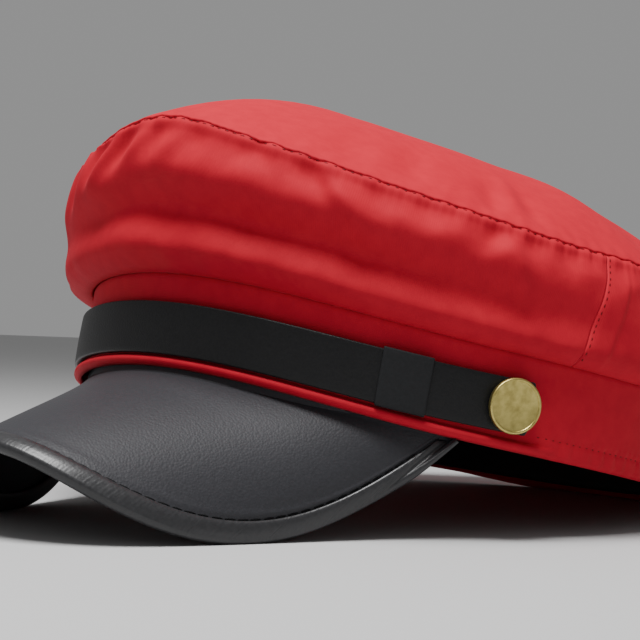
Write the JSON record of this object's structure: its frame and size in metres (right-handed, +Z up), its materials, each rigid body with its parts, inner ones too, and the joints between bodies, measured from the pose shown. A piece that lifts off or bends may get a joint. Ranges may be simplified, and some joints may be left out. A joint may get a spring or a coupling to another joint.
{
  "type": "cadet cap",
  "caption": "Soft red cloth cadet cap with a domed crown, a head band, a black leather strap held by brass buttons, and a curved black leather peak.",
  "frame": {"origin": "the middle of the cap's outline on the table: halfway between its left and right and between the peak's edge and the back of the crown", "axes": "+Z up from the table, -Z out of the flat foot, the peak points towards -Y, the wearer's left is +X"},
  "size_m": [0.1934, 0.274, 0.1134],
  "materials": {
    "red_cloth_top": "satin cotton cloth, red",
    "red_cloth_front": "satin cotton cloth, red",
    "red_cloth_back": "satin cotton cloth, red",
    "red_cloth_band": "satin cotton cloth, red, folded hem",
    "strap_leather": "smooth black leather",
    "keeper_leather": "matt black leather",
    "brass_left": "antique brass, lightly mottled",
    "brass_right": "antique brass, lightly mottled",
    "peak_leather": "finely pebbled dark grey-black leather",
    "binding_leather": "black leather folded over the edge",
    "sweatband_leather": "plain black leather"
  },
  "bodies": {
    "root": {"crown_top": "red_cloth_top", "crown_side_front": "red_cloth_front", "crown_side_back": "red_cloth_back", "band": "red_cloth_band", "strap": "strap_leather", "strap_keeper": "keeper_leather", "button_left": "brass_left", "button_right": "brass_right", "peak": "peak_leather", "peak_binding": "binding_leather", "sweatband": "sweatband_leather"}
  },
  "joints": []
}
